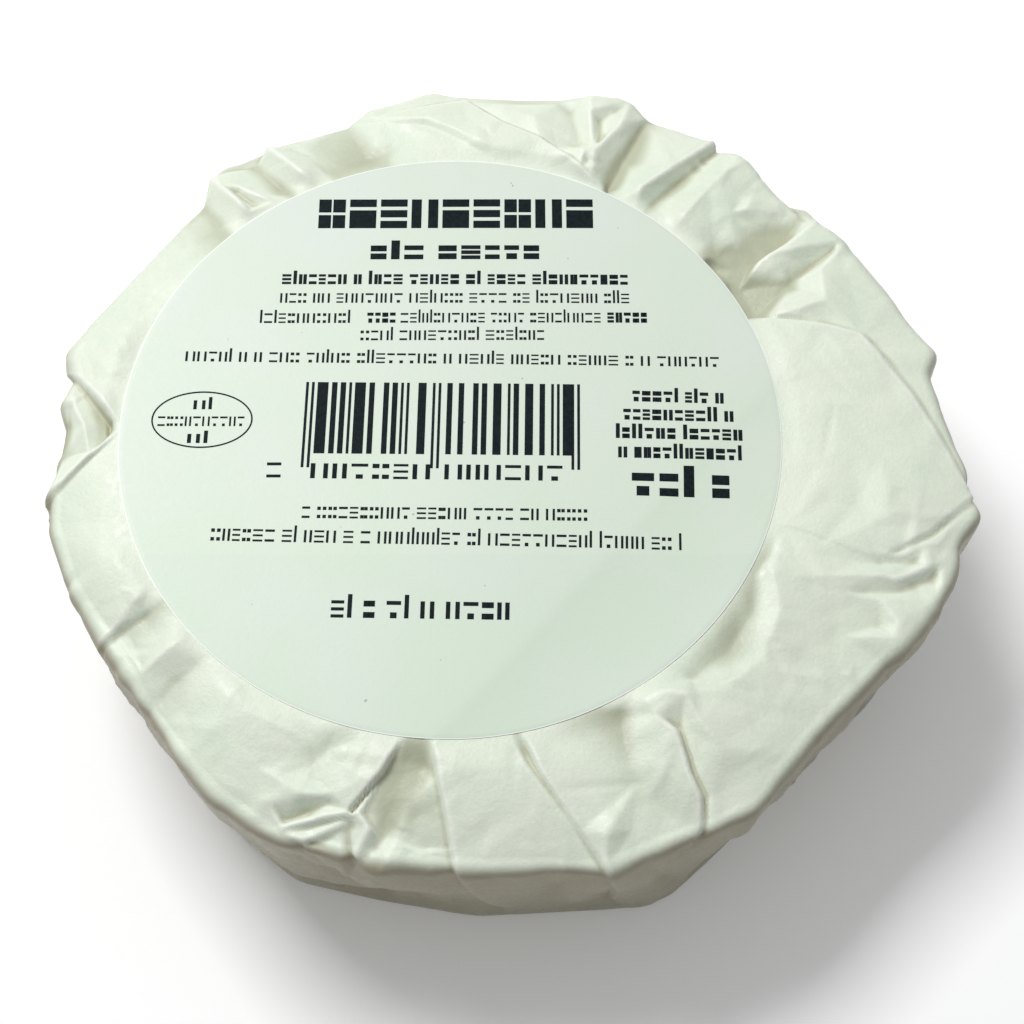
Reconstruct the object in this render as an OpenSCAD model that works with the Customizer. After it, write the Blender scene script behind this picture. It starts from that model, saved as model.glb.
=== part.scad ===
// Soft round cheese wrapped in waxed paper, lying with the pleated side up.
// The paper is gathered in pleats that run from under a round label out to the rim and down the wall.
// Millimetres, +Z up, origin on the surface it stands on, under the middle of the pack.

/* [Wrapped cheese] */
// Diameter of the cheese with its paper, before any fold stands out
cheese_d = 100; // [92:1:120]
// Height from the surface to the flat seat under the label
cheese_h = 29; // [22:0.2:36]
// Rounding of the upper edge under the paper
rim_round = 4; // [3:0.5:6]
// Rounding of the lower edge
base_round = 3; // [2:0.5:5]
// How far the wall leans in between the upper rim and the base
wall_lean = 1; // [0:0.5:4]
// How far the top face falls away between the seat and the rim
top_fall = 1.4; // [0.8:0.2:2.4]

/* [Paper folds] */
// Depth of a valley between two pleats, as a multiple of the depths in PLEATS
fold_depth = 1; // [0.4:0.1:1.4]
// How far the paper is drawn in at the rim of a valley, for each millimetre of its depth
fold_tuck = 0.5; // [0:0.1:1]
// Where a valley lies between two pleats: 0 is at the first, 1 at the next
valley_place = 0.6; // [0.35:0.05:0.7]

/* [Label] */
// Diameter of the round label that pins the pleats down
label_d = 75; // [60:1:78]
// Thickness of the label with its glue
label_t = 0.3; // [0.2:0.1:0.8]
// How far the label overhangs the flat seat, so that valleys run in under its edge
label_overhang = 3; // [1:0.5:5]
// Clear paper between the label and the rounded rim, on the side where they come closest
label_gap = 1.2; // [0.4:0.1:3]
// Direction of that side, counter-clockwise from +X
label_side = 182; // [0:1:360]

/* [Hidden] */

cheese_r = cheese_d / 2;
seat_r = label_d / 2 - label_overhang;
label_off = cheese_r - rim_round - label_d / 2 - label_gap;
label_mid = [cos(label_side), sin(label_side)] * label_off;

// One row for each pleat, counter-clockwise round the pack:
// [its direction at the rim, how far it stands out past the cheese,
//  how far it turns on its way in to the label, depth of the valley after it]
PLEATS = [
    [1, -0.6, 0, 0.3],
    [12, 0.2, 9, 0.7],
    [33, -1.8, -6, 1.3],
    [42, -2.4, 0, 0.8],
    [54, -1.2, 0, 1.4],
    [69, 0.4, 1, 1.8],
    [78, 1.6, -2, 1.2],
    [97, 0.6, -16, 0.3],
    [102, 1.9, -14, 0.3],
    [112, 0.6, -16, 0.8],
    [127, 1.6, -2, 1.2],
    [135, 2.6, 0, 0.3],
    [169, 3.4, 4, 0.8],
    [188, 3.1, -6, 0.3],
    [202, 2.4, 0, 1.0],
    [217, 0.8, -1, 1.0],
    [229, 1.8, -1, 0.6],
    [243, 3.0, 2, 0.5],
    [250, 1.6, 4, 2.0],
    [263, 0.8, -5, 1.4],
    [281, 1.2, -10, 0.8],
    [292, 0.2, -4, 1.6],
    [300, 0.4, 0, 0.8],
    [311, -2.6, 0, 0.5],
    [330, 0.0, -12, 1.0],
    [340, 1.8, -14, 0.9],
    [349, 3.5, -14, 0.3],
    [354, 2.0, -11, 0.3],
];
pleat_count = len(PLEATS);

// Facets between a pleat's ridge and the valley beside it
face_steps = 2;
// Rings across the top face, round each rounded edge and down the wall
top_steps = 5;
edge_steps = 4;
wall_steps = 4;
// Share of the way to the rim over which a valley reaches its full depth
valley_grow = 0.45;

function direction(angle) = [cos(angle), sin(angle)];
function between(from, to, share) = from + (to - from) * share;
function next_pleat(i) = PLEATS[(i + 1) % pleat_count];
// Angle that the next pleat's value has when it is counted on past the end of the turn
function onward(i, value) = value + (i == pleat_count - 1 ? 360 : 0);

// Where a ray from the cheese's middle at this angle leaves the flat seat
function seat_point(angle) =
    let (
        along = label_mid * direction(angle),
        aside_sq = label_mid * label_mid - along * along
    )
    direction(angle) * (along + sqrt(seat_r * seat_r - aside_sq));

function rim_point(pleat) = direction(pleat[0]) * (cheese_r + pleat[1]);

// One fold line from the seat to the base:
// [angle at the seat, point at the rim, depth of the fold there]
function ridge_line(i) = [PLEATS[i][0] + PLEATS[i][2], rim_point(PLEATS[i]), 0];
function next_ridge_line(i) =
    [onward(i, next_pleat(i)[0] + next_pleat(i)[2]), rim_point(next_pleat(i)), 0];
function valley_line(i) =
    let (
        depth = PLEATS[i][3] * fold_depth,
        chord = between(rim_point(PLEATS[i]), rim_point(next_pleat(i)), valley_place)
    )
    [
        between(ridge_line(i)[0], next_ridge_line(i)[0], valley_place),
        chord * (1 - fold_tuck * depth / norm(chord)),
        depth
    ];
function blend_lines(a, b, share) =
    [between(a[0], b[0], share), between(a[1], b[1], share), between(a[2], b[2], share)];

LINES = [
    for (i = [0 : pleat_count - 1])
        for (step = [0 : 2 * face_steps - 1])
            step < face_steps
                ? blend_lines(ridge_line(i), valley_line(i), step / face_steps)
                : blend_lines(valley_line(i), next_ridge_line(i), step / face_steps - 1)
];
line_count = len(LINES);

// The pack's middle, so that the origin lies under the middle of its box
RIM = [for (line = LINES) line[1]];
pack_mid = [
    (min([for (p = RIM) p.x]) + max([for (p = RIM) p.x])) / 2,
    (min([for (p = RIM) p.y]) + max([for (p = RIM) p.y])) / 2
];

// Points down one fold line, from the seat's edge over the rim to the base's flat
function line_points(line) =
    let (
        seat = seat_point(line[0]),
        rim = line[1],
        outward = rim / norm(rim),
        brink = rim - outward * rim_round,
        brink_z = cheese_h - top_fall - line[2],
        rim_z = brink_z - rim_round,
        foot = outward * (min(norm(rim), cheese_r) - wall_lean)
    )
    [
        for (k = [0 : top_steps])
            let (
                share = k / top_steps,
                xy = between(seat, brink, share),
                sunk = line[2] * sin(90 * min(1, share / valley_grow))
            )
            [xy.x, xy.y, cheese_h - top_fall * pow(share, 1.5) - sunk],
        for (k = [1 : edge_steps])
            let (
                turn = 90 * k / edge_steps,
                xy = brink + outward * rim_round * sin(turn)
            )
            [xy.x, xy.y, brink_z - rim_round * (1 - cos(turn))],
        for (k = [1 : wall_steps])
            let (
                share = k / wall_steps,
                xy = between(rim, foot, share)
            )
            [xy.x, xy.y, between(rim_z, base_round, share)],
        for (k = [1 : edge_steps])
            let (
                turn = 90 * k / edge_steps,
                xy = foot - outward * base_round * (1 - cos(turn))
            )
            [xy.x, xy.y, base_round * (1 - sin(turn))]
    ];

ring_count = top_steps + 1 + edge_steps + wall_steps + edge_steps;

module wrapped_cheese() {
    points = [for (line = LINES) each line_points(line)];
    function at(i, k) = (i % line_count) * ring_count + k;
    sides = [
        for (i = [0 : line_count - 1])
            for (k = [0 : ring_count - 2])
                each [
                    [at(i, k), at(i + 1, k + 1), at(i, k + 1)],
                    [at(i, k), at(i + 1, k), at(i + 1, k + 1)]
                ]
    ];
    seat = [for (i = [line_count - 1 : -1 : 0]) at(i, 0)];
    base = [for (i = [0 : line_count - 1]) at(i, ring_count - 1)];
    color([0.85, 0.89, 0.82])
        translate([-pack_mid.x, -pack_mid.y, 0])
            polyhedron(points, [seat, base, each sides]);
}

module label() {
    color([0.86, 0.90, 0.88])
        translate([label_mid.x - pack_mid.x, label_mid.y - pack_mid.y, cheese_h])
            cylinder(d = label_d, h = label_t, $fn = 180);
}

wrapped_cheese();
label();
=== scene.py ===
import math

import bpy
import numpy as np
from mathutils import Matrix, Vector
from mathutils.geometry import delaunay_2d_cdt


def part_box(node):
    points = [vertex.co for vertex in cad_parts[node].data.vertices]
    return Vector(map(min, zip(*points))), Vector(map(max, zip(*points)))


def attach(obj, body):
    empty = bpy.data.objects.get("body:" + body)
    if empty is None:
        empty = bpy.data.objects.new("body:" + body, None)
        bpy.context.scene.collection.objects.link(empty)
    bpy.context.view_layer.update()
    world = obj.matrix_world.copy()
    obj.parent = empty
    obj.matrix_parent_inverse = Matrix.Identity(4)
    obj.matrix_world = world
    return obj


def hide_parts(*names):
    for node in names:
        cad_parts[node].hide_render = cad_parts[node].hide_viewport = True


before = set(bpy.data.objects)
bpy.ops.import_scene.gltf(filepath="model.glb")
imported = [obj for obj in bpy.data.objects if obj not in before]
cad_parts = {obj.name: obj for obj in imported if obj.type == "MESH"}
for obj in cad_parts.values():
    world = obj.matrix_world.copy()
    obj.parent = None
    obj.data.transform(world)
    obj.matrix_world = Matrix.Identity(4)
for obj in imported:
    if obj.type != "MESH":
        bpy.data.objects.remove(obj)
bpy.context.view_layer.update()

# Everything below is worked out in millimetres and turned into metres when a mesh is made.
MM = 0.001


def millimetres(corner):
    """A corner of a box in metres as an array in millimetres."""
    return np.array(corner, float) / MM


label_low, label_high = (millimetres(c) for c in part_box("label"))
LABEL_MID = (label_low[:2] + label_high[:2]) / 2
LABEL_R = (label_high[0] - label_low[0]) / 2
SEAT_Z = label_low[2]

# ---------------------------------------------------------------- the pack's form

CHEESE_R = 50.0
SEAT_R = LABEL_R - 2.6
RIM_ROUND = 1.5
BASE_ROUND = 3.0
# Fall of the top face from the label to the brink at the sides, how much more it is in front, and the
# share of that by which it is less behind
TOP_FALL = 1.3
FRONT_FALL = 1.2
BACK_SHARE = 0.2
# The fall grows with this power of the way from the label to the brink
FALL_POWER = 1.9

# The paper's outline is straight from corner to corner: (direction in degrees, reach past the cheese).
OUTLINE = [
    (1, -0.4), (9, -1.4), (12, 0.4), (16, -1), (35, -3), (42, -3.7), (55, -2.5), (60, -2.8),
    (70, -1.3), (75, -0.1), (86, -1.3), (99, -0.7), (102, 0.3), (113, -0.9), (126, -0.4), (135, 1.1),
    (169, 3.1), (172, 1.5), (177, 2.2), (184, 2.5), (193, 3.5), (202, 2.9), (209, 1.9), (215, 1.6),
    (220, 2.2), (228, 3.0), (234, 4.0), (242, 4.2), (253, 2.8), (266, 1.8), (274, 1.6), (281, 2.6),
    (288, 1.4), (294, 1.6), (300, 1.6), (304, 0.2), (311, -1.2), (330, 0.4), (334, 1.2),
    (340, 1.8), (345, 2.0), (349, 3.6), (352, 2.0), (354, 2.0),
]

# The foot of the wall, straight from corner to corner in the same way
FOOT = [
    (14, -1.0), (38, -2.6), (62, -1.4), (84, -0.8), (104, -0.4), (126, 0.2), (150, 0.6), (170, 1.2),
    (190, 1.0), (212, 0.2), (230, 0.8), (241, 1.6), (252, -0.2), (265, -0.6), (287, 0.4), (293, -0.4),
    (312, -3.4), (331, -1.8), (350, 0.0),
]

# The paper's folds on its spread-out sheet: lines of points (x, y, height over the smooth pack).
# The paper is flat from one fold to the next. On the top face a point's place is the one seen from
# above; past the rim it goes on down the wall.
RIDGES_AND_VALLEYS = [
    # left: the smooth flap's far end, then a valley, a ridge, a valley and a ridge
    [(-39.3, -19.6, 0.5), (-43.2, -24.5, 0.4), (-49, -31, 0.2)],
    [(-37.6, -21.8, -0.5), (-43.1, -25.3, -0.2)],
    [(-36.4, -23.6, -0.3), (-39.9, -29.0, 0.2)],
    [(-34.7, -25.8, 0.5), (-39.9, -29.7, 0.45), (-46, -35, 0.2)],
    [(-32.7, -28.3, -0.35), (-36.0, -30.8, -0.4), (-38.2, -33.0, -0.2), (-41, -36, 0)],
    [(-29.2, -31.8, 0.3), (-33.6, -38.7, 0.4), (-39, -46, 0.2)],
    # lower left: the bent flap and the crumpled corner under it
    [(-17.2, -35.8, -0.3), (-20.9, -39.3, -0.5), (-20.8, -42.0, -0.2)],
    [(-30.5, -42, 0.3), (-27, -40.5, 0.2)],
    [(-25.5, -44.3, 0.3), (-22.2, -43.6, 0.4), (-18.9, -43.6, 0.3)],
    [(-24.0, -46.1, -0.4), (-21.6, -45.2, -0.5), (-19.2, -44.4, -0.1)],
    [(-24.1, -46.7, 0.35), (-20.6, -46.0, 0.45), (-17.1, -45.6, 0.45)],
    [(-24.4, -47.3, 0.0), (-20.6, -46.5, -0.1), (-17.4, -46.0, 0.0)],
    [(-21.8, -48.0, 0.2), (-19.0, -47.0, 0.25), (-17.9, -46.5, 0.2)],
    [(-21.3, -48.5, -0.25), (-17.9, -47.1, -0.2)],
    [(-21.4, -48.9, 0.15), (-17.8, -49.7, 0.2)],
    [(-17.0, -46.7, -0.3), (-17.0, -49.9, -0.4)],
    [(-16.2, -45.3, 0.45), (-14.9, -47.0, 0.45), (-15.4, -47.7, 0.35), (-16.4, -49.5, 0.3)],
    [(-15.7, -45.6, -0.2), (-13.9, -48.0, -0.35), (-15.4, -49.8, -0.2)],
    [(-15.8, -50.3, 0.1), (-13.9, -51.3, 0.45), (-13.2, -50.4, 0.3)],
    # bottom: the deep pocket and the upright ridge beside it
    [(-10.3, -36.0, -0.6), (-11.6, -41.5, -0.8), (-13.4, -46.0, -0.5)],
    [(-9.3, -36.0, -0.5), (-9.4, -40.5, -0.7), (-11.0, -45.0, -0.35)],
    # lower right: a hollow at the label, the spoon-shaped face, the crack, and a bright face
    [(5.5, -34.6, -0.35), (9.5, -34.8, -0.5)],
    [(11.2, -34.8, -0.6), (11.6, -38.4, -0.4), (12.9, -42.0, -0.3), (17.5, -46.6, 0.0)],
    [(14.8, -35.2, 0.4), (17.0, -36.9, 0.6), (18.3, -41.2, 0.55), (19.4, -43.5, 0.4), (19.0, -47.5, 0.2)],
    [(17.4, -36.6, -0.3), (18.7, -41.3, -0.45), (19.8, -43.4, -0.45), (19.8, -47.5, -0.2)],
    [(18.0, -36.6, 0.1), (19.3, -41.2, 0.0), (20.5, -43.4, 0.0), (20.6, -47.5, 0.1)],
    [(18.0, -33.0, 0.6), (19.6, -35.9, 0.6), (21.5, -38.6, 0.45)],
    [(10.5, -32.6, 0.4), (12.9, -31.9, 0.6)],
    [(26.5, -34.6, 0.1), (28.6, -38.9, 0.3), (31.5, -38.5, 0.3)],
    [(6.9, -47.3, 0.1), (9.4, -48.0, 0.6), (12.3, -46.9, 0.0)],
    # right below the large flap: pockets under the label, a long ridge, small faces at the rim
    [(26.0, -19.5, -0.5), (25.6, -23.2, -0.65), (22.8, -27.8, -0.65), (18.8, -30.8, -0.4)],
    [(28.2, -19.2, 0.2), (28.8, -22.6, 0.1), (26.8, -28.4, 0.05), (23.2, -31.4, 0.15), (19.5, -33.0, 0.3)],
    [(28.4, -14.8, -0.3), (27.4, -17.2, -0.5)],
    [(29.2, -13.5, 0.0), (29.0, -15.8, 0.0), (27.6, -17.4, 0.3)],
    [(30.2, -19.2, 0.15), (34.0, -18.8, 0.25), (39.9, -18.6, 0.4), (41.5, -19.1, 0.45),
     (45.3, -17.4, 0.45), (46.9, -16.6, 0.35)],
    [(35.2, -20.6, 0.0), (41.8, -20.2, -0.15), (46.3, -18.3, -0.25)],
    [(39.7, -21.3, 0.2), (46.3, -20.8, 0.3)],
    [(32.0, -16.0, 0.0), (38.5, -17.0, -0.1), (44.0, -16.7, -0.15)],
    [(41.6, -16.2, 0.15), (45.4, -14.7, 0.3), (49.4, -11.4, 0.3)],
    [(46.7, -14.4, 0.4), (46.9, -16.0, 0.2)],
    [(31.5, -27.2, -0.15), (35.5, -25.5, -0.3), (39.5, -24.0, -0.15)],
    [(41.6, -24.2, 0.7), (41.0, -25.6, 0.6), (44, -31, 0.2)],
    # upper right
    [(38.7, 25.0, 0.5), (36.1, 21.3, 0.7), (36.3, 16.6, 0.8), (30.6, 14.6, 0.5)],
    [(26.7, 19.4, -1.0), (28.2, 15.2, -0.9)],
    [(30.5, 23.3, 0.4), (34.5, 24.6, 0.6), (38.3, 25.6, 0.5)],
    [(32.5, 19.7, -0.7), (35.5, 22.5, -0.5), (38.2, 24.4, 0.0)],
    [(24.1, 21.8, -1.0), (28.4, 22.7, -0.9), (32.1, 25.8, -0.8), (34.8, 29.6, -0.3)],
    [(29.2, 22.6, 0.2), (32.8, 25.2, 0.5), (36, 28.6, 0.5)],
    [(19.2, 27.0, 0.7), (23.4, 32.7, 0.8), (27.2, 37.4, 0.8), (31, 43, 0.4)],
    [(15.3, 32.6, 0.7), (19.0, 35.8, 0.8), (24.1, 39.9, 0.8), (27, 44, 0.4)],
    [(16.6, 30.8, -0.7), (20.2, 34.6, -0.6), (24.6, 39.1, -0.3)],
    [(11.4, 33.5, -1.1), (13.6, 38.4, -1.0), (16.6, 44.7, -0.6), (18, 48.5, 0)],
    [(7.6, 37.2, 0.3), (10.0, 38.8, 0.8), (13.3, 43.1, 0.6), (14.5, 47, 0.2)],
    [(9.6, 40.2, 0.6), (9.4, 45.1, 0.6), (9.3, 48.5, 0.2)],
    [(10.6, 43.7, -0.3), (10.7, 40.6, -0.2)],
    # top flap's long thin crease, and the pocket beside it
    [(-17.5, 44.4, 0.3), (-10.7, 43.6, 0.55), (-6.7, 41.4, 0.6), (-2.5, 38.7, 0.5)],
    [(-16.5, 43.4, 0.15), (-10.7, 42.5, 0.15), (-7.2, 40.5, 0.2), (-3.4, 38.0, 0.3)],
    [(5.5, 38.9, -0.5), (8.1, 40.3, -0.1)],
    [(-1.0, 45.5, 0.3), (2.5, 44.0, 0.4), (4.5, 42.5, 0.1)],
    [(5.6, 47.0, -0.5), (7.0, 45.4, -0.5)],
    # upper left
    [(-21.0, 44.0, -0.5), (-17.7, 37.6, -0.6)],
    [(-25.4, 38.7, -0.4), (-22.0, 35.0, -0.5)],
    [(-30.5, 40.5, 0.6), (-29.4, 38.7, 0.8), (-24.8, 34.0, 0.8)],
    [(-32.0, 37.5, -0.5), (-27.2, 32.3, -0.6)],
    [(-33.0, 33.0, 0.4), (-29.0, 30.8, 0.5)],
    [(-33.6, 32.6, -0.1), (-31.2, 30.6, -0.3)],
    [(-37.5, 36.0, 0.6), (-36.0, 34.0, 0.9), (-31.8, 29.2, 0.9)],
    [(-38.6, 32.6, -0.4), (-34.4, 26.4, -0.5)],
    # far left: small faces between the two flaps
    [(-50.8, 3.8, 0.3), (-48.8, 0.0, 0.4), (-48.0, -3.2, 0.1)],
    [(-51.0, 0.9, -0.7), (-51.3, -3.0, -0.7)],
    [(-46.0, 0.6, -1.0), (-45.9, -0.8, -0.9)],
]

# Edges where one layer of paper lies over the next: (line, drop, side), where the drop is how much
# lower the layer beneath is, and it lies on the left (1) or on the right (-1) of the line.
LAYER_EDGES = [
    ([(-44.6, -0.6, 0.5), (-47.7, -3.7, 0.5), (-51.2, -7.3, 0.5), (-55, -11, 0.4)], 0.5, 1),
    ([(-50.3, 6.8, 0.5), (-45.0, 0.6, 0.5)], 0.6, -1),
    ([(-10.6, -35.5, 0.1), (-13.8, -41.2, 0.3), (-17.2, -45.2, 0.35)], 0.85, 1),
    ([(-21.8, -48.6, 0.2), (-21.3, -53.0, 0.4), (-19.2, -55.4, 0.4)], 0.5, -1),
    ([(-8.8, -35.5, 0.1), (-7.9, -42.0, 0.2), (-7.0, -46.1, 0.15), (-5.9, -52, 0.2), (-4, -66, 0.2)],
     0.5, -1),
    ([(-1.2, -35.5, 0.1), (1.3, -40.6, 0.1), (4.0, -44.2, 0.1)], 0.5, 1),
    ([(0.2, -35.5, 0.2), (2.9, -41.7, 0.2), (9.4, -51.0, 0.25), (13, -60, 0.3), (15, -68, 0.2)], 0.5, -1),
    ([(27.8, -12.3, 0.1), (31.7, -13.2, 0.1), (35.6, -14.8, 0.1), (38.7, -16.0, 0.15), (40.9, -16.0, 0.2)],
     0.1, -1),
    ([(51.6, -8.3, 0.5), (45.8, -13.3, 0.35), (41.5, -15.7, 0.2)], 0.35, 1),
    ([(29.5, 14.4, 0.3), (36.2, 13.4, 0.6), (40.4, 12.0, 0.7), (43.0, 8.3, 0.6), (45.6, 4.3, 0.6),
      (48.1, -0.8, 0.5), (50.6, -6.6, 0.5)], 0.45, 1),
    ([(9.2, 34.6, 0.7), (7.0, 37.0, 0.7), (3.0, 40.4, 0.7), (-1.8, 43.0, 0.6), (-6.1, 47.0, 0.4)], 0.6, -1),
]
# How far beside a layer's edge the layer beneath begins
EDGE_RUN = 0.25
# Fold lines are rounded by averaging the height at four places this far round each place
EDGE_SOFTNESS = 0.1
# Where the paper is crumpled finely: (direction, half width in degrees, strength)
CRUMPLED = [
    (248, 11, 1.2), (295, 9, 0.7), (318, 10, 0.4), (46, 16, 0.9), (77, 6, 0.8), (345, 5, 0.9),
    (138, 9, 0.5), (172, 5, 0.6), (215, 10, 0.6),
]
# Share of crumpling that every direction has
CRUMPLED_EVERYWHERE = 0.2
# Number of pleats strewn round the wall, and the share of their heights that is used
WALL_PLEATS = 64
WALL_PLEAT_SHARE = 0.4
# All the fold heights above are multiplied by this
FOLD_SCALE = 1.4
# On the spread-out paper, the reach of the strewn creases and of the ring that closes the nets
CREASED_REACH = 74
NET_REACH = 76


def unit(angle):
    """The unit vectors at these angles in radians, with x and y last."""
    return np.stack([np.cos(angle), np.sin(angle)], -1)


def cross(a, b):
    """The upright part of the cross product of plane vectors."""
    return a[..., 0] * b[..., 1] - a[..., 1] * b[..., 0]


def soft_step(share):
    """0 below 0, 1 above 1, and 3 s^2 - 2 s^3 between."""
    share = np.clip(share, 0, 1)
    return share * share * (3 - 2 * share)


def average_round(values, reach):
    """Values round a closed ring, each replaced by the bell-shaped average of its neighbours."""
    steps = np.arange(-3 * reach, 3 * reach + 1)
    weights = np.exp(-0.5 * (steps / reach) ** 2)
    return sum(np.roll(values, s) * w for s, w in zip(steps, weights)) / weights.sum()


def outline_radius(angle, table):
    """Distance from the middle to an outline: where the ray at each angle meets the straight line
    between the two corners beside it."""
    directions = np.radians([corner[0] for corner in table])
    corners = unit(directions) * (CHEESE_R + np.array([corner[1] for corner in table]))[:, None]
    first = (np.searchsorted(directions, angle, side="right") - 1) % len(table)
    side = corners[(first + 1) % len(table)] - corners[first]
    return cross(corners[first], side) / cross(unit(angle), side)


def seat_radius(angle, radius):
    """Distance from the pack's middle to a circle round the label's middle, along the ray at each angle."""
    along = unit(angle) @ LABEL_MID
    return along + np.sqrt(radius**2 - LABEL_MID @ LABEL_MID + along**2)


def layer_lines(line, drop, side):
    """The two lines of a layer's edge: its own, and one EDGE_RUN beside it that is lower by the drop."""
    line = np.array(line, float)
    way = np.gradient(line[:, :2], axis=0)
    way /= np.linalg.norm(way, axis=1)[:, None]
    beside = line.copy()
    beside[:, :2] += side * EDGE_RUN * np.stack([-way[:, 1], way[:, 0]], 1)
    beside[:, 2] -= drop
    return [line, beside]


def level_ring(middle, radius, count):
    """Points round a circle at height 0."""
    ring = middle + unit(np.linspace(0, 2 * np.pi, count, endpoint=False)) * radius
    return np.concatenate([ring, np.zeros((count, 1))], 1)


def net_of(lines):
    """Triangles between lines of points, as an array (triangle, corner, xyz), from a triangulation that
    keeps every line. Level rings close it under the label and at the foot of the wall."""
    points = np.concatenate([*lines, level_ring(LABEL_MID, SEAT_R - 1, 48), level_ring(0, NET_REACH, 48)])
    edges, start = [], 0
    for line in lines:
        edges += [(i, i + 1) for i in range(start, start + len(line) - 1)]
        start += len(line)
    made = delaunay_2d_cdt([Vector(p[:2]) for p in points], edges, [], 0, 0.001, True)
    places, triangles, sources = np.array([tuple(v) for v in made[0]]), made[2], made[3]
    heights = np.array([points[source[0]][2] if source else 0.0 for source in sources])
    corners = np.concatenate([places, heights[:, None]], 1)
    return corners[np.array([t for t in triangles if len(t) == 3])]


def fold_net():
    """The net of the folds and of the layers' edges."""
    lines = [np.array(line, float) for line in RIDGES_AND_VALLEYS]
    for edge in LAYER_EDGES:
        lines += layer_lines(*edge)
    return net_of(lines)


def crinkle_net(count, height, seed):
    """A net of small flat faces: points strewn over the paper, each up or down by a random height that
    is larger where the paper is crumpled."""
    random = np.random.default_rng(seed)
    angle = random.uniform(0, 2 * np.pi, count)
    reach = np.sqrt(random.uniform((SEAT_R - 4) ** 2, CREASED_REACH**2, count))
    heights = random.normal(0, height, count) * crumpled(angle)
    return net_of([point[None] for point in np.stack([*(unit(angle) * reach[:, None]).T, heights], 1)])


def crumpled(angle):
    """How crumpled the paper is in each direction: bell-shaped bumps on a low even share."""
    share = CRUMPLED_EVERYWHERE + angle * 0
    for middle, width, strength in CRUMPLED:
        apart = (np.degrees(angle) - middle + 180) % 360 - 180
        share = share + strength * np.exp(-((apart / width) ** 2))
    return share


def facet_height(spread, net):
    """Height of the flat faces of a net over each place: the mean of the corners' heights, weighted by
    the place's shares of the triangle that it lies in."""
    order = np.argsort(spread[..., 0], axis=None)
    places = spread.reshape(-1, 2)[order]
    sorted_height = np.zeros(len(places))
    for a, b, c in net:
        area = cross(b[:2] - a[:2], c[:2] - a[:2])
        first, last = np.searchsorted(places[:, 0], [min(a[0], b[0], c[0]), max(a[0], b[0], c[0])])
        if abs(area) < 1e-9 or first == last:
            continue
        offset = places[first:last] - a[:2]
        share_b = (offset[:, 0] * (c[1] - a[1]) - offset[:, 1] * (c[0] - a[0])) / area
        share_c = (offset[:, 1] * (b[0] - a[0]) - offset[:, 0] * (b[1] - a[1])) / area
        inside = (share_b >= -1e-6) & (share_c >= -1e-6) & (share_b + share_c <= 1 + 1e-6)
        found = a[2] + share_b * (b[2] - a[2]) + share_c * (c[2] - a[2])
        sorted_height[first:last] = np.where(inside, found, sorted_height[first:last])
    height = np.empty(len(places))
    height[order] = sorted_height
    return height.reshape(spread.shape[:-1])


def crumple(spread, count, length, width, height, seed):
    """Sum of short tent-shaped creases strewn over the spread-out paper: each is
    height * max(0, 1 - |across| / width) * (1 - (along / length)^2), with random place, turn and sign."""
    random = np.random.default_rng(seed)
    places = unit(random.uniform(0, 2 * np.pi, count)) * random.uniform(SEAT_R, CREASED_REACH, count)[:, None]
    turns = unit(random.uniform(0, np.pi, count))
    lengths = length * random.uniform(0.6, 1.5, count)
    widths = width * random.uniform(0.5, 1.5, count)
    heights = height * random.uniform(0.4, 1.0, count) * random.choice([-1, 1], count)
    total = np.zeros(spread.shape[:-1])
    for place, turn, long, wide, high in zip(places, turns, lengths, widths, heights):
        near = np.abs(spread - place).max(axis=-1) < long + wide
        offset = spread[near] - place
        along = offset @ turn / long
        across = np.abs(cross(np.broadcast_to(turn, offset.shape), offset)) / wide
        total[near] += high * np.clip(1 - across, 0, 1) * np.clip(1 - along**2, 0, 1)
    return total


def ring_table(angle):
    """The smooth pack without its creases, as arrays over (ring, direction): distance from the middle,
    height, turn of the surface from level to upright, and distance on the spread-out paper.
    The top face falls from the label to the brink, a quarter circle leads to the wall, the wall runs to
    the foot's outline, and another quarter circle leads to the base."""
    rim = average_round(outline_radius(angle, OUTLINE), 2)
    foot = average_round(outline_radius(angle, FOOT), 3)
    seat = seat_radius(angle, SEAT_R)
    label_edge = seat_radius(angle, LABEL_R)
    brink = rim - RIM_ROUND
    fall = TOP_FALL - FRONT_FALL * np.minimum(np.sin(angle), BACK_SHARE)
    brink_z = SEAT_Z - fall
    rows = []

    def add(radius, z, turn, spread):
        rows.append(np.broadcast_arrays(radius, z, turn, spread))

    for share in np.linspace(0, 1, 60):
        radius = seat + (brink - seat) * share
        past_label = np.clip((radius - label_edge) / (brink - label_edge), 0, 1)
        add(radius, SEAT_Z - fall * past_label**FALL_POWER, angle * 0, radius)
    for turn in np.linspace(0, np.pi / 2, 10)[1:]:
        add(brink + RIM_ROUND * np.sin(turn), brink_z - RIM_ROUND * (1 - np.cos(turn)),
            turn + angle * 0, brink + RIM_ROUND * turn)
    wall_top, wall_foot = brink_z - RIM_ROUND, BASE_ROUND
    wall_start = brink + RIM_ROUND * np.pi / 2
    for share in np.linspace(0, 1, 17)[1:]:
        add(rim + (foot - rim) * soft_step(share), wall_top + (wall_foot - wall_top) * share,
            np.pi / 2 + angle * 0, wall_start + (wall_top - wall_foot) * share)
    wall_end = wall_start + wall_top - wall_foot
    for turn in np.linspace(0, np.pi / 2, 5)[1:]:
        add(foot - BASE_ROUND * (1 - np.cos(turn)), BASE_ROUND * (1 - np.sin(turn)),
            np.pi / 2 + turn + angle * 0, wall_end + BASE_ROUND * turn)
    return [np.array(column) for column in zip(*rows)]


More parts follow.
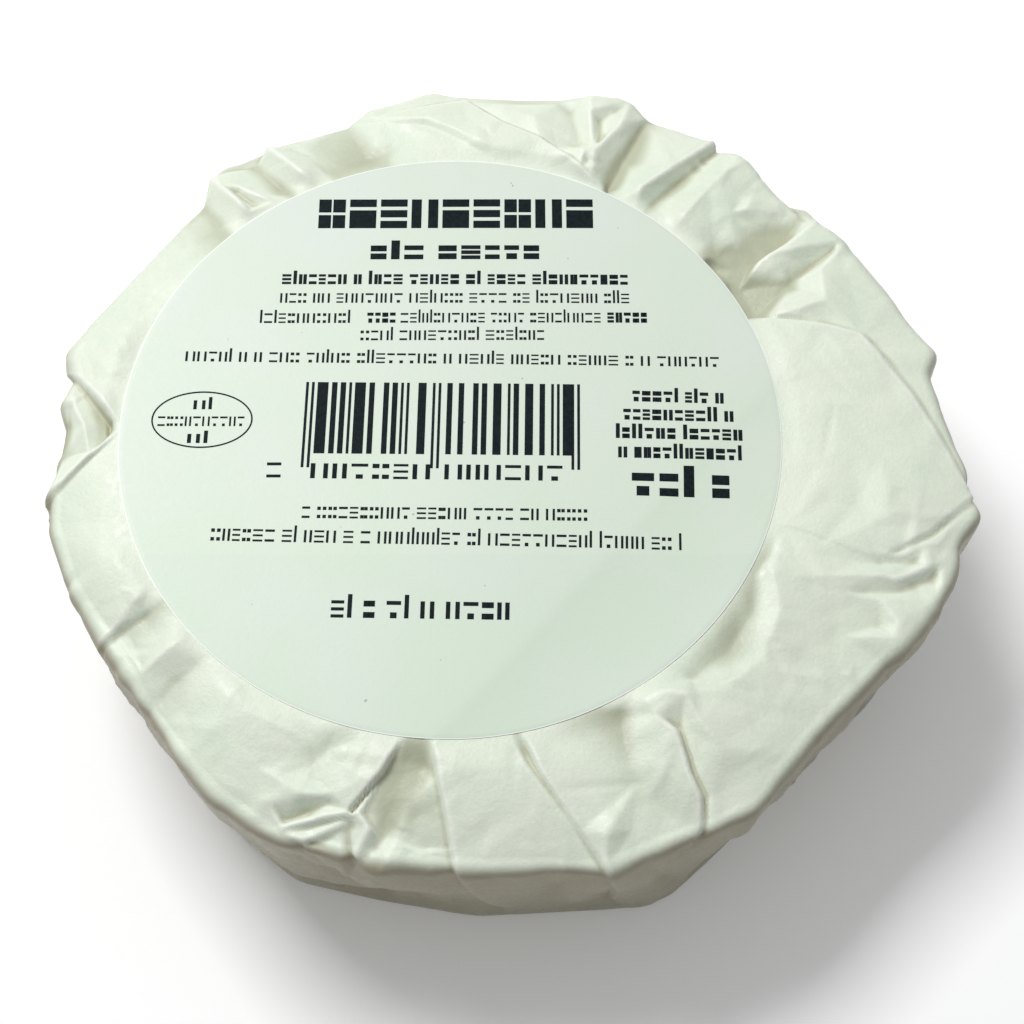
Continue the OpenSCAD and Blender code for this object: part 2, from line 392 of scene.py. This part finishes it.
def smoothed(grid, share=0.25):
    """A grid over (ring, direction) with this share of each neighbour mixed in, along the rings and
    across them. Directions close up."""
    padded = np.concatenate([grid[:1], grid, grid[-1:]])
    grid = (1 - 2 * share) * padded[1:-1] + share * (padded[:-2] + padded[2:])
    return (1 - 2 * share) * grid + share * (np.roll(grid, 1, 1) + np.roll(grid, -1, 1))


def blurred(grid, times):
    """A grid smoothed this many times."""
    for _ in range(times):
        grid = smoothed(grid)
    return grid


def wall_pleats(angle, reach):
    """Pleats down the wall: the sum of tents of random direction, slant, width, height and length. Each
    one's height is high * max(0, 1 - |across| / wide), grows over the rim and dies out at its lower end."""
    random = np.random.default_rng(41)
    total = np.zeros(reach.shape)
    for middle in np.sort(random.uniform(0, 2 * np.pi, WALL_PLEATS)):
        slant, wide = random.normal(0, 0.16), random.uniform(1.0, 3.2)
        high = random.uniform(0.25, 0.9) * random.choice([-1, 1])
        end = random.uniform(58, 76)
        apart = (angle - middle + np.pi) % (2 * np.pi) - np.pi
        across = apart * CHEESE_R - slant * (reach - CHEESE_R)
        fade = soft_step((reach - CHEESE_R + 1) / 4) * (1 - soft_step((reach - end) / 8))
        total += high * np.clip(1 - np.abs(across) / wide, 0, 1) * fade
    return total


def paper_relief(spread):
    """The flat faces between the folds, two finer nets of crinkles and some strewn small creases."""
    net = fold_net()
    around = unit(np.radians([20, 110, 200, 290])) * EDGE_SOFTNESS
    total = FOLD_SCALE * sum(facet_height(spread + step, net) for step in around) / len(around)
    total = total + facet_height(spread, crinkle_net(700, 0.26, seed=21))
    total = smoothed(total + facet_height(spread, crinkle_net(2600, 0.10, seed=22)), 0.05)
    return total + crumple(spread, 420, 4.0, 1.2, 0.12, seed=11)


def closed_mesh(name, rings, first_pole, last_pole):
    """A closed surface from rings of points (ring, step, xyz), with a fan to a pole at each end."""
    ring_count, steps = rings.shape[:2]
    index = np.arange(ring_count * steps).reshape(ring_count, steps)
    onward = np.roll(index, -1, axis=1)
    quads = np.stack([index[:-1], index[1:], onward[1:], onward[:-1]], -1).reshape(-1, 4)
    first = ring_count * steps
    fans = [np.stack([np.full(steps, first), index[0], onward[0]], -1),
            np.stack([onward[-1], index[-1], np.full(steps, first + 1)], -1)]
    points = np.concatenate([rings.reshape(-1, 3), [first_pole], [last_pole]])
    mesh = bpy.data.meshes.new(name)
    mesh.from_pydata((points * MM).tolist(), [], quads.tolist() + fans[0].tolist() + fans[1].tolist())
    mesh.update()
    mesh.shade_smooth()
    return mesh


def add_piece(name, mesh, material, nodes=()):
    """Puts a mesh in the scene as a piece of the pack."""
    piece = bpy.data.objects.new(name, mesh)
    bpy.context.scene.collection.objects.link(piece)
    mesh.materials.append(material)
    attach(piece, "root")
    if nodes:
        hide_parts(*nodes)
    return piece


# How far the label is pressed into the paper at its edge
PAPER_UNDER_LABEL = 0.05
# How much lower the paper lies away from the label's edge, where the label hides it
UNDER_LABEL_DROP = 0.6
# A valley deeper than POCKET_START runs in under the label; at POCKET_FULL it keeps its whole depth there
POCKET_START, POCKET_FULL = 0.7, 1.3
# Share of the painted shade on the wall (a darker, warmer colour) that is left on the wall behind
WALL_SHADE_BEHIND = 0.35
# Directions round the skin
SKIN_STEPS = 1050

# The label's bend: the direction in which the paper falls away past it, and its distance from the middle
BEND_TURN = math.radians(-41)
BEND_AT = 23.5


def seat_wave(flat):
    """Height over the flat seat of the paper and the label that lies on it: two long waves, and a bend
    past which it falls away."""
    x, y = flat[..., 0] - LABEL_MID[0], flat[..., 1] - LABEL_MID[1]
    waves = 0.10 * np.sin(0.083 * x + 0.045 * y + 0.4) * np.sin(0.061 * y - 0.037 * x + 1.1)
    past_bend = x * math.cos(BEND_TURN) + y * math.sin(BEND_TURN) - BEND_AT
    bend = np.where(past_bend > 0, -0.055 * past_bend + 0.0042 * past_bend**2, 0.0)
    return waves + np.maximum(bend, -0.18) * np.clip(past_bend, 0, 1)


def wrapped_cheese(material):
    """The pleated paper as one closed skin. Its attributes are masks for light and shade painted into the
    paper's colour. "fold" is the relief's height over the average of its surroundings, so it is above 0 on a
    ridge's crest, where a highlight is painted, and below 0 in a valley's bottom, where shade is painted.
    "hollow" grows from 0 to 1 with the depth of a valley and masks painted shade there, and "wall" is 0 on
    the top face, 1 on the wall in front and less on the wall behind, and masks painted shade on the wall."""
    angle = np.linspace(0, 2 * np.pi, SKIN_STEPS, endpoint=False)
    radius, z, turn, reach = ring_table(angle)
    ways = unit(angle)
    spread = ways * reach[..., None]
    flat = ways * radius[..., None]
    from_label = np.linalg.norm(flat - LABEL_MID, axis=-1)
    relief = paper_relief(spread) + wall_pleats(angle, reach) * WALL_PLEAT_SHARE
    # hollow: mask of the painted shade in the deeper valleys
    hollow = soft_step((-blurred(relief, 3) - 0.15) / 0.8)
    pocket = soft_step((-relief - POCKET_START) / (POCKET_FULL - POCKET_START))
    freed = np.maximum(soft_step((from_label - LABEL_R + 0.3) / 3.0), pocket)
    relief = relief * freed * soft_step((from_label - SEAT_R) / 1.6)
    relief = relief * soft_step((np.pi - turn) / (np.pi / 2))
    # fold: mask of the painted highlight on crests (above 0) and of the painted shade in valley bottoms
    # (below 0)
    fold = blurred(relief, 1) - blurred(relief, 4)
    hollow = hollow * (from_label > LABEL_R - 1)
    flat = flat + ways * (np.sin(turn) * relief)[..., None]
    z = z + np.cos(turn) * relief
    near_seat = soft_step((LABEL_R + 7 - from_label) / 7) * (turn < 0.1)
    z = z + seat_wave(flat) * near_seat
    seat_top = SEAT_Z + seat_wave(flat) + PAPER_UNDER_LABEL
    past_edge = np.maximum(from_label - LABEL_R - 0.1, 0)
    z = np.where(turn < 0.1, np.minimum(z, seat_top + past_edge), z)
    z = np.maximum(z, 0)
    rings = np.concatenate([flat, z[..., None]], -1)
    inner = LABEL_MID + (flat[:1] - LABEL_MID) * 0.98
    hidden = np.concatenate([inner, z[:1, :, None] - UNDER_LABEL_DROP], -1)
    rings = np.concatenate([hidden, rings])
    fold, hollow, turn = (np.concatenate([grid[:1], grid]) for grid in (fold, hollow, turn))
    middle = SEAT_Z - UNDER_LABEL_DROP
    mesh = closed_mesh("wrapping_paper", rings, (*LABEL_MID, middle), (0, 0, 0))
    # wall: mask of the painted shade on the wall, full in front and a smaller share behind
    in_front = soft_step((0.5 - np.sin(angle)) / 0.8)
    wall = soft_step((turn - 0.35) / 0.8) * (WALL_SHADE_BEHIND + (1 - WALL_SHADE_BEHIND) * in_front)
    for name, grid, last in (("fold", fold, 0), ("hollow", hollow, 0), ("wall", wall, 1)):
        values = np.concatenate([grid.ravel(), [0, last]]).astype(np.float32)
        mesh.attributes.new(name, "FLOAT", "POINT").data.foreach_set("value", values)
    return add_piece("wrapping_paper", mesh, material, ["wrapped_cheese"])


# ---------------------------------------------------------------- label

# The label's thickness
LABEL_T = 0.09


def label(material):
    """The round label: a thin disc with a rounded edge that lies on the waves of seat_wave."""
    steps = np.linspace(0, 2 * np.pi, 360, endpoint=False)
    edge = LABEL_T / 2
    top = [(LABEL_R - edge) * s for s in np.linspace(0.02, 1, 60)]
    rows = [(r, LABEL_T) for r in top]
    rows += [(LABEL_R - edge + edge * math.sin(t), edge + edge * math.cos(t))
             for t in np.linspace(0, math.pi, 7)[1:]]
    rows += [(r, 0) for r in top[::-4]]
    rings = []
    for radius, height in rows:
        flat = LABEL_MID + unit(steps) * radius
        rings.append(np.concatenate([flat, (SEAT_Z + seat_wave(flat) + height)[:, None]], -1))
    middle = SEAT_Z + float(seat_wave(LABEL_MID))
    return add_piece("label_disc",
                     closed_mesh("label_disc", np.array(rings), (*LABEL_MID, middle + LABEL_T),
                                 (*LABEL_MID, middle)),
                     material, ["label"])


# ---------------------------------------------------------------- print on the label
# Abstract marks only: they stand where the label's lines stand, in groups as long as its words, and
# spell nothing.

# How far the ink stands over the label, and how far its slabs reach into it
INK_T = 0.03
INK_SINK = 0.004
# Rows of points from a block's foot to its head, so that it follows the label's waves
BLOCK_STEPS = 5
# The oval mark's middle, half width, half height and line
OVAL_MID = (-28.2, 1.15)
OVAL_HALF = (5.75, 3.7)
OVAL_LINE = 0.18


def block(u, v, width, height):
    """An upright block: its lower left corner, width and height."""
    return [u, v, width, height]


def mark(kind, u, height, stem, wide):
    """Blocks of one abstract mark that starts at u on the line: an upright bar, a pair of bars, a stack
    of two or three level bars, four squares, or a bar over a square."""
    low = 0.73 * height
    square = min(1.5 * stem, 0.42 * low)
    if kind == 0:
        return [block(u, 0, stem, height)]
    if kind == 1:
        return [block(u, 0, stem, low), block(u + wide - stem, 0, stem, low)]
    if kind == 2:
        gap = (low - 3 * stem * 0.8) / 2
        return [block(u, i * (0.8 * stem + gap), wide, 0.8 * stem) for i in range(3)]
    if kind == 3:
        return [block(u + i * (wide - square), j * (low - square), square, square)
                for i in (0, 1) for j in (0, 1)]
    if kind == 4:
        return [block(u, low - stem, wide, stem), block(u, 0, wide, stem)]
    return [block(u, low - stem, wide, stem), block(u + (wide - square) / 2, 0, square, square)]


def line_of_marks(start, end, height, stem, words, seed):
    """Blocks of a line of marks in groups, stretched to run from start to end on the label."""
    random = np.random.default_rng(seed)
    blocks, u = [], 0.0
    for word in words:
        for _ in range(word):
            kind = random.choice(6, p=[0.15, 0.3, 0.15, 0.15, 0.1, 0.15])
            wide = height * random.uniform(0.42, 0.56)
            blocks += mark(kind, u, height, stem, wide)
            u += (stem if kind == 0 else wide) + 0.13 * height
        u += 0.3 * height
    u -= 0.43 * height
    blocks = np.array(blocks)
    start, end = np.array(start, float), np.array(end, float)
    blocks[:, [0, 2]] *= np.linalg.norm(end - start) / u
    return place_blocks(blocks, start, end)


def place_blocks(blocks, start, end):
    """Blocks on a line of the label as corners (block, corner, xy), counter-clockwise."""
    way = (end - start) / np.linalg.norm(end - start)
    up = np.array([-way[1], way[0]])
    u, v, width, height = np.asarray(blocks, float).T[..., None]
    across = np.concatenate([u, u + width, u + width, u], 1)
    along = np.concatenate([v, v, v + height, v + height], 1)
    return start + across[..., None] * way + along[..., None] * up


def title_marks():
    """The heavy top line: nine wide marks, of paired bars, stacked bars, four squares or one square
    under a level bar."""
    height, wide, pitch = 4.2, 3.2, 3.71
    thick, square, half = 1.2, 1.5, 1.9
    pair = [block(0, 0, thick, height), block(wide - thick, 0, thick, height)]
    stack = [block(0, i * (height - 1.05) / 2, wide, 1.05) for i in range(3)]
    four = [block(i * (wide - square), j * (height - half), square, half) for i in (0, 1) for j in (0, 1)]
    capped = [block(0, height - 1.1, wide, 1.1), block(0, 0, wide, 2.6)]
    sets = [four, capped, stack, pair, capped, stack, four, pair, capped]
    blocks = np.array([[b[0] + i * pitch, *b[1:]] for i, marks in enumerate(sets) for b in marks])
    return place_blocks(blocks, np.array([-16.2, 27.5]), np.array([16.8, 27.5]))


def bar_field():
    """A field of upright bars of one to four modules with spaces of one to three, which codes nothing.
    The outer and middle pairs are longer."""
    random = np.random.default_rng(31)
    module, height, longer = 0.33, 9.3, 1.8
    bars, at = [(0, 1, True), (2, 1, True)], 4
    while at < 91:
        if 43 <= at <= 47:
            bars += [(at, 1, True), (at + 2, 1, True)]
            at += 5
            continue
        width = int(random.choice([1, 2, 3, 4], p=[0.42, 0.3, 0.18, 0.1]))
        bars.append((at, width, False))
        at += width + int(random.choice([1, 2, 3], p=[0.5, 0.33, 0.17]))
    bars += [(92, 1, True), (94, 1, True)]
    blocks = [block(first * module, -longer if tall else 0, width * module * 0.94, height + longer * tall)
              for first, width, tall in bars]
    return place_blocks(blocks, np.array([-16.7, -3.2]), np.array([14.2, -3.6]))


def round_mark():
    """The oval stamp's outline as short blocks end to end, each as long as its share of the oval."""
    turn = np.linspace(0, 2 * np.pi, 73)
    oval = OVAL_MID + unit(turn) * OVAL_HALF
    inner = OVAL_MID + unit(turn) * (np.array(OVAL_HALF) - OVAL_LINE)
    return np.stack([inner[:-1], oval[:-1], oval[1:], inner[1:]], 1)


def all_marks():
    """Corners of every printed block on the label, as (block, corner, xy) from the label's middle."""
    parts = [title_marks(), bar_field(), round_mark()]
    # Each line: start, end, height of its tall marks, stem's width and the number of marks in each group
    lines = [
        ((-9.8, 23.0), (10.2, 23.0), 2.7, 0.66, (3, 5)),
        ((-20.1, 19.5), (20.6, 19.4), 1.9, 0.40, (7, 1, 4, 5, 2, 4, 10)),
        ((-20.2, 16.9), (20.7, 16.8), 1.8, 0.24, (3, 2, 7, 6, 4, 2, 7, 4)),
        ((-22.4, 14.1), (-11.9, 14.1), 1.8, 0.24, (11,)),
        ((-9.9, 14.1), (-6.6, 14.1), 1.9, 0.42, (4,)),
        ((-6.0, 14.1), (17.3, 14.1), 1.8, 0.24, (11, 4, 9)),
        ((18.1, 14.1), (22.7, 14.1), 1.9, 0.42, (5,)),
        ((-10.6, 11.7), (10.7, 11.7), 1.8, 0.24, (4, 9, 7)),
        ((-30.7, 8.9), (30.8, 8.1), 1.8, 0.24, (5, 1, 1, 3, 5, 9, 1, 5, 5, 5, 1, 1, 6)),
        ((20.7, 3.5), (31.1, 3.2), 1.9, 0.42, (5, 3, 1)),
        ((19.6, 1.1), (32.1, 0.8), 1.9, 0.42, (10, 1)),
        ((18.7, -1.3), (33.0, -1.6), 1.9, 0.42, (7, 6)),
        ((18.9, -3.8), (32.8, -4.1), 1.9, 0.42, (1, 12)),
        ((20.3, -8.6), (31.2, -8.9), 3.9, 1.0, (3, 1)),
        ((-16.3, -11.4), (15.3, -11.8), 1.95, 0.27, (1, 9, 5, 4, 2, 4)),
        ((-26.2, -14.2), (25.6, -15.3), 2.05, 0.28, (6, 2, 3, 1, 1, 9, 2, 10, 5, 2, 1)),
        ((-12.6, -23.5), (6.7, -23.8), 2.8, 0.46, (2, 1, 2, 1, 4)),
        ((-20.5, -6.3), (-18.9, -6.3), 2.6, 0.36, (1,)),
        ((-15.6, -6.4), (-2.2, -6.6), 2.6, 0.36, (6,)),
        ((-0.6, -6.6), (12.6, -6.8), 2.6, 0.36, (6,)),
        ((-29.3, 2.5), (-27.2, 2.5), 1.6, 0.22, (2,)),
        ((-33.2, 0.3), (-23.4, 0.3), 1.7, 0.22, (10,)),
        ((-29.7, -1.9), (-27.4, -1.9), 1.6, 0.22, (2,)),
    ]
    for seed, line in enumerate(lines):
        parts.append(line_of_marks(*line, seed=seed))
    return np.concatenate(parts)


def label_print(material):
    """The print as thin slabs on the label: each block's corners are spread over BLOCK_STEPS rows from
    its foot to its head, once at the label's surface and once INK_T above it, and joined as a box."""
    corners = all_marks()
    share = np.linspace(0, 1, BLOCK_STEPS)[:, None]
    left = corners[:, None, 0] * (1 - share) + corners[:, None, 3] * share
    right = corners[:, None, 1] * (1 - share) + corners[:, None, 2] * share
    flat = np.stack([left, right], 2) + LABEL_MID
    base = SEAT_Z + seat_wave(flat) + LABEL_T - INK_SINK
    foot = np.concatenate([flat, base[..., None]], -1)
    head = np.concatenate([flat, base[..., None] + INK_SINK + INK_T], -1)
    points = np.stack([foot, head], 3)
    count = len(corners)
    index = np.arange(count * BLOCK_STEPS * 4).reshape(count, BLOCK_STEPS, 2, 2)
    low, high = index[:, :-1], index[:, 1:]
    faces = [
        np.stack([low[..., 0, 1], low[..., 1, 1], high[..., 1, 1], high[..., 0, 1]], -1),
        np.stack([low[..., 0, 0], high[..., 0, 0], high[..., 1, 0], low[..., 1, 0]], -1),
        np.stack([low[..., 0, 0], low[..., 0, 1], high[..., 0, 1], high[..., 0, 0]], -1),
        np.stack([low[..., 1, 0], high[..., 1, 0], high[..., 1, 1], low[..., 1, 1]], -1),
    ]
    ends = [
        np.stack([index[:, 0, 0, 0], index[:, 0, 1, 0], index[:, 0, 1, 1], index[:, 0, 0, 1]], -1),
        np.stack([index[:, -1, 0, 0], index[:, -1, 0, 1], index[:, -1, 1, 1], index[:, -1, 1, 0]], -1),
    ]
    faces = np.concatenate([f.reshape(-1, 4) for f in faces + ends])
    mesh = bpy.data.meshes.new("label_print")
    mesh.from_pydata((points.reshape(-1, 3) * MM).tolist(), [], faces.tolist())
    mesh.update()
    return add_piece("label_print", mesh, material)


# ---------------------------------------------------------------- materials

class Value:
    """A number that varies over a surface. Sums, products and powers of it add the nodes they need."""

    def __init__(self, finish, socket):
        self.finish, self.socket = finish, socket

    def joined(self, operation, first, second):
        return self.finish.value("ShaderNodeMath", {"operation": operation}, {0: first, 1: second})

    def __add__(self, other):
        return self.joined("ADD", self, other)

    def __radd__(self, other):
        return self.joined("ADD", other, self)

    def __sub__(self, other):
        return self.joined("SUBTRACT", self, other)

    def __rsub__(self, other):
        return self.joined("SUBTRACT", other, self)

    def __mul__(self, other):
        return self.joined("MULTIPLY", self, other)

    def __rmul__(self, other):
        return self.joined("MULTIPLY", other, self)

    def crest(self):
        """Distance from 0.5, so that cloudy values become sharp winding creases."""
        return self.finish.value("ShaderNodeMath", {"operation": "ABSOLUTE"}, {0: self - 0.5})

    def within(self, low, high):
        """How far the value is from low to high, as a smooth step from 0 to 1."""
        return self.finish.value("ShaderNodeMapRange", {"interpolation_type": "SMOOTHSTEP"},
                                 {"Value": self, "From Min": low, "From Max": high})


class Finish:
    """A material whose nodes are added by the expressions that describe it."""

    def __init__(self, name, **constants):
        self.material = bpy.data.materials.new(name)
        self.material.use_nodes = True
        self.nodes = self.material.node_tree.nodes
        self.links = self.material.node_tree.links
        self.shader = self.nodes["Principled BSDF"]
        self.set(self.shader, {key.replace("_", " "): value for key, value in constants.items()})
        self.place = self.node("ShaderNodeTexCoord").outputs["Object"]

    def set(self, node, inputs):
        for key, value in inputs.items():
            value = value.socket if isinstance(value, Value) else value
            if isinstance(value, bpy.types.NodeSocket):
                self.links.new(value, node.inputs[key])
            elif isinstance(value, tuple) and len(value) == 3 and node.inputs[key].type == "RGBA":
                node.inputs[key].default_value = (*value, 1)
            else:
                node.inputs[key].default_value = value

    def node(self, kind, settings=None, inputs=None):
        """A node of this kind, with its settings made first and then its inputs."""
        node = self.nodes.new(kind)
        for key, value in (settings or {}).items():
            setattr(node, key, value)
        self.set(node, inputs or {})
        return node

    def value(self, kind, settings=None, inputs=None):
        return Value(self, self.node(kind, settings, inputs).outputs[0])

    def noise(self, size, detail=3.0, roughness=0.5, twist=0.0):
        """Cloudy values round 0.5 with clouds of this size in millimetres."""
        return self.value("ShaderNodeTexNoise", {"noise_dimensions": "3D"},
                          {"Vector": self.place, "Scale": 1 / (size * MM), "Detail": detail,
                           "Roughness": roughness, "Distortion": twist})

    def axis(self, name):
        """Place along one axis in millimetres."""
        parts = self.node("ShaderNodeSeparateXYZ", None, {"Vector": self.place})
        return Value(self, parts.outputs[name]) * (1 / MM)

    def mark(self, name):
        """The piece's own values of this name."""
        return Value(self, self.node("ShaderNodeAttribute", {"attribute_name": name}).outputs["Fac"])

    def mixed(self, share, first, second):
        """Colour between the first at share 0 and the second at share 1."""
        node = self.node("ShaderNodeMix", {"data_type": "RGBA"}, {0: share, 6: first, 7: second})
        return node.outputs[2]

    def bump(self, height, strength, depth):
        """A surface raised by height times depth in millimetres."""
        inputs = {"Height": height, "Strength": strength, "Distance": depth * MM}
        return self.node("ShaderNodeBump", None, inputs).outputs["Normal"]

    def done(self, **inputs):
        self.set(self.shader, {key.replace("_", " "): value for key, value in inputs.items()})
        return self.material


def waxed_paper():
    """Greenish white waxed paper: cloudy fibres, a painted highlight on the crests, painted shade in the
    hollows, in the valley bottoms and on the wall (darker and warmer, most in front), and a half gloss
    broken by fine creases."""
    paper = Finish("waxed_paper", Specular_IOR_Level=0.38, Coat_Roughness=0.25)
    clouds = paper.noise(9.0, 4.0, 0.6)
    fibres = paper.noise(0.5, 5.0, 0.7)
    creases = paper.noise(2.6, 3.0, 0.55, 1.4)
    fold = paper.mark("fold")
    colour = paper.mixed(clouds.within(0.3, 0.7), (0.725, 0.81, 0.665), (0.775, 0.835, 0.70))
    colour = paper.mixed(fibres.within(0.35, 0.7) * 0.5, colour, (0.83, 0.86, 0.745))
    # Painted highlight: paler colour on the ridges' crests
    colour = paper.mixed(fold.within(0.015, 0.09) * 0.5, colour, (0.93, 0.94, 0.87))
    # Painted shade: dark olive colour in the deeper valleys
    colour = paper.mixed(paper.mark("hollow") * 0.8, colour, (0.42, 0.44, 0.30))
    # Painted shade: darker olive colour in the valleys' bottoms
    colour = paper.mixed((fold * -1).within(0.015, 0.12) * 0.6, colour, (0.46, 0.44, 0.31))
    # Painted shade: darker, browner colour down the wall, strongest in front
    colour = paper.mixed(paper.mark("wall") * 0.82, colour, (0.27, 0.22, 0.135))
    relief = fibres * 0.8 + creases * 0.3 - creases.crest() * 0.35
    return paper.done(Base_Color=colour,
                      Roughness=0.30 + fibres.within(0.3, 0.75) * 0.24,
                      Coat_Weight=creases.within(0.5, 0.72) * 0.22,
                      Normal=paper.bump(relief, 0.55, 0.15))


def label_paper():
    """Smooth coated label paper, slightly greener and bluer than the wrapping, with faint cloudy tones,
    a tone step under the printed lines, a few tiny specks and a white cut edge, which is partly the paper's
    own white core and partly a painted highlight that keeps it pale where it lies in shade."""
    paper = Finish("label_paper", IOR=1.45)
    clouds = paper.noise(14.0, 3.0, 0.5)
    grain = paper.noise(0.45, 3.0, 0.6)
    specks = paper.noise(1.1, 1.0, 0.5)
    below = (float(LABEL_MID[1]) - 15.9 - paper.axis("Y")).within(-0.15, 0.15)
    upper = (paper.axis("Y") - float(LABEL_MID[1])).within(-25, 30)
    tone = clouds.within(0.35, 0.65) * 0.5 + upper * 0.5
    colour = paper.mixed(tone, (0.655, 0.765, 0.62), (0.70, 0.765, 0.685))
    colour = paper.mixed(below * 0.35, colour, (0.62, 0.725, 0.62))
    colour = paper.mixed(grain.within(0.4, 0.75) * 0.2, colour, (0.74, 0.79, 0.71))
    colour = paper.mixed(specks.within(0.815, 0.825) * 0.6, colour, (0.25, 0.28, 0.25))
    across, up = paper.axis("X") - float(LABEL_MID[0]), paper.axis("Y") - float(LABEL_MID[1])
    # Cut edge: partly the paper's real white core, partly a painted highlight that keeps the edge pale in
    # shade
    edge = (across * across + up * up).within((LABEL_R - 0.16) ** 2, (LABEL_R - 0.06) ** 2)
    colour = paper.mixed(edge, colour, (0.97, 0.97, 0.95))
    return paper.done(Base_Color=colour, Roughness=0.36 + grain * 0.12,
                      Normal=paper.bump(grain + clouds * 2, 0.25, 0.05))


def black_ink():
    """Blue-black ink that covers slightly unevenly."""
    ink = Finish("black_ink", Specular_IOR_Level=0.06)
    cover = ink.noise(0.5, 3.0, 0.6)
    colour = ink.mixed(cover.within(0.35, 0.7), (0.005, 0.010, 0.012), (0.011, 0.018, 0.021))
    return ink.done(Base_Color=colour, Roughness=0.5 + cover * 0.1,
                    Normal=ink.bump(cover, 0.2, 0.01))


def floor_white():
    """Matt white studio floor with a barely visible grain, which glows faintly so that shadows stay pale."""
    floor = Finish("floor_white", Emission_Color=(1.0, 1.0, 1.0), Emission_Strength=0.13)
    grain = floor.noise(30.0, 2.0, 0.5)
    colour = floor.mixed(grain, (0.93, 0.93, 0.93), (0.95, 0.95, 0.95))
    return floor.done(Base_Color=colour, Roughness=0.9 + grain * 0.05)


# ---------------------------------------------------------------- studio

# Each lamp in metres: place, the point it faces, size, and its power in watts
WINDOW = ((-0.28, 0.32, 0.67), (0, 0, 0.02), (0.34, 0.24), 4.6)
CEILING = ((0.0, 0.201, 0.9), (0, 0.2, 0), (1.4, 1.4), 2.2)
SKY_COLOUR, SKY_STRENGTH = (0.95, 0.98, 1.0, 1), 0.22
# The camera's lens in millimetres, its place in metres from the middle of the label's top, and how
# steeply it looks down
LENS = 70.3
CAMERA_OFFSET = (0.00698, -0.1126, 0.19636)
CAMERA_DOWN = math.radians(62.6)


def studio():
    """A plain pale floor, soft lights and the camera."""
    bpy.ops.mesh.primitive_plane_add(size=6)
    floor = bpy.context.object
    floor.name = "floor"
    floor.data.materials.append(floor_white())

    world = bpy.data.worlds.new("studio")
    world.use_nodes = True
    world.node_tree.nodes["Background"].inputs["Color"].default_value = SKY_COLOUR
    world.node_tree.nodes["Background"].inputs["Strength"].default_value = SKY_STRENGTH
    bpy.context.scene.world = world

    def area(name, place, target, size, power):
        light = bpy.data.lights.new(name, "AREA")
        light.shape = "RECTANGLE"
        light.size, light.size_y = size
        light.energy = power
        lamp = bpy.data.objects.new(name, light)
        bpy.context.scene.collection.objects.link(lamp)
        way = np.array(target, float) - np.array(place, float)
        lamp.location = place
        lamp.rotation_euler = (math.acos(-way[2] / np.linalg.norm(way)), 0,
                               math.atan2(way[1], way[0]) - math.pi / 2)

    area("window", *WINDOW)
    area("ceiling", *CEILING)
    bpy.context.scene.view_settings.view_transform = "Standard"

    camera = bpy.data.cameras.new("camera")
    camera.lens = LENS
    camera.clip_start = 0.01
    holder = bpy.data.objects.new("camera", camera)
    bpy.context.scene.collection.objects.link(holder)
    holder.location = np.array([*LABEL_MID, label_high[2]]) * MM + CAMERA_OFFSET
    holder.rotation_euler = (math.pi / 2 - CAMERA_DOWN, 0, 0)
    bpy.context.scene.camera = holder


wrapped_cheese(waxed_paper())
label(label_paper())
label_print(black_ink())
studio()
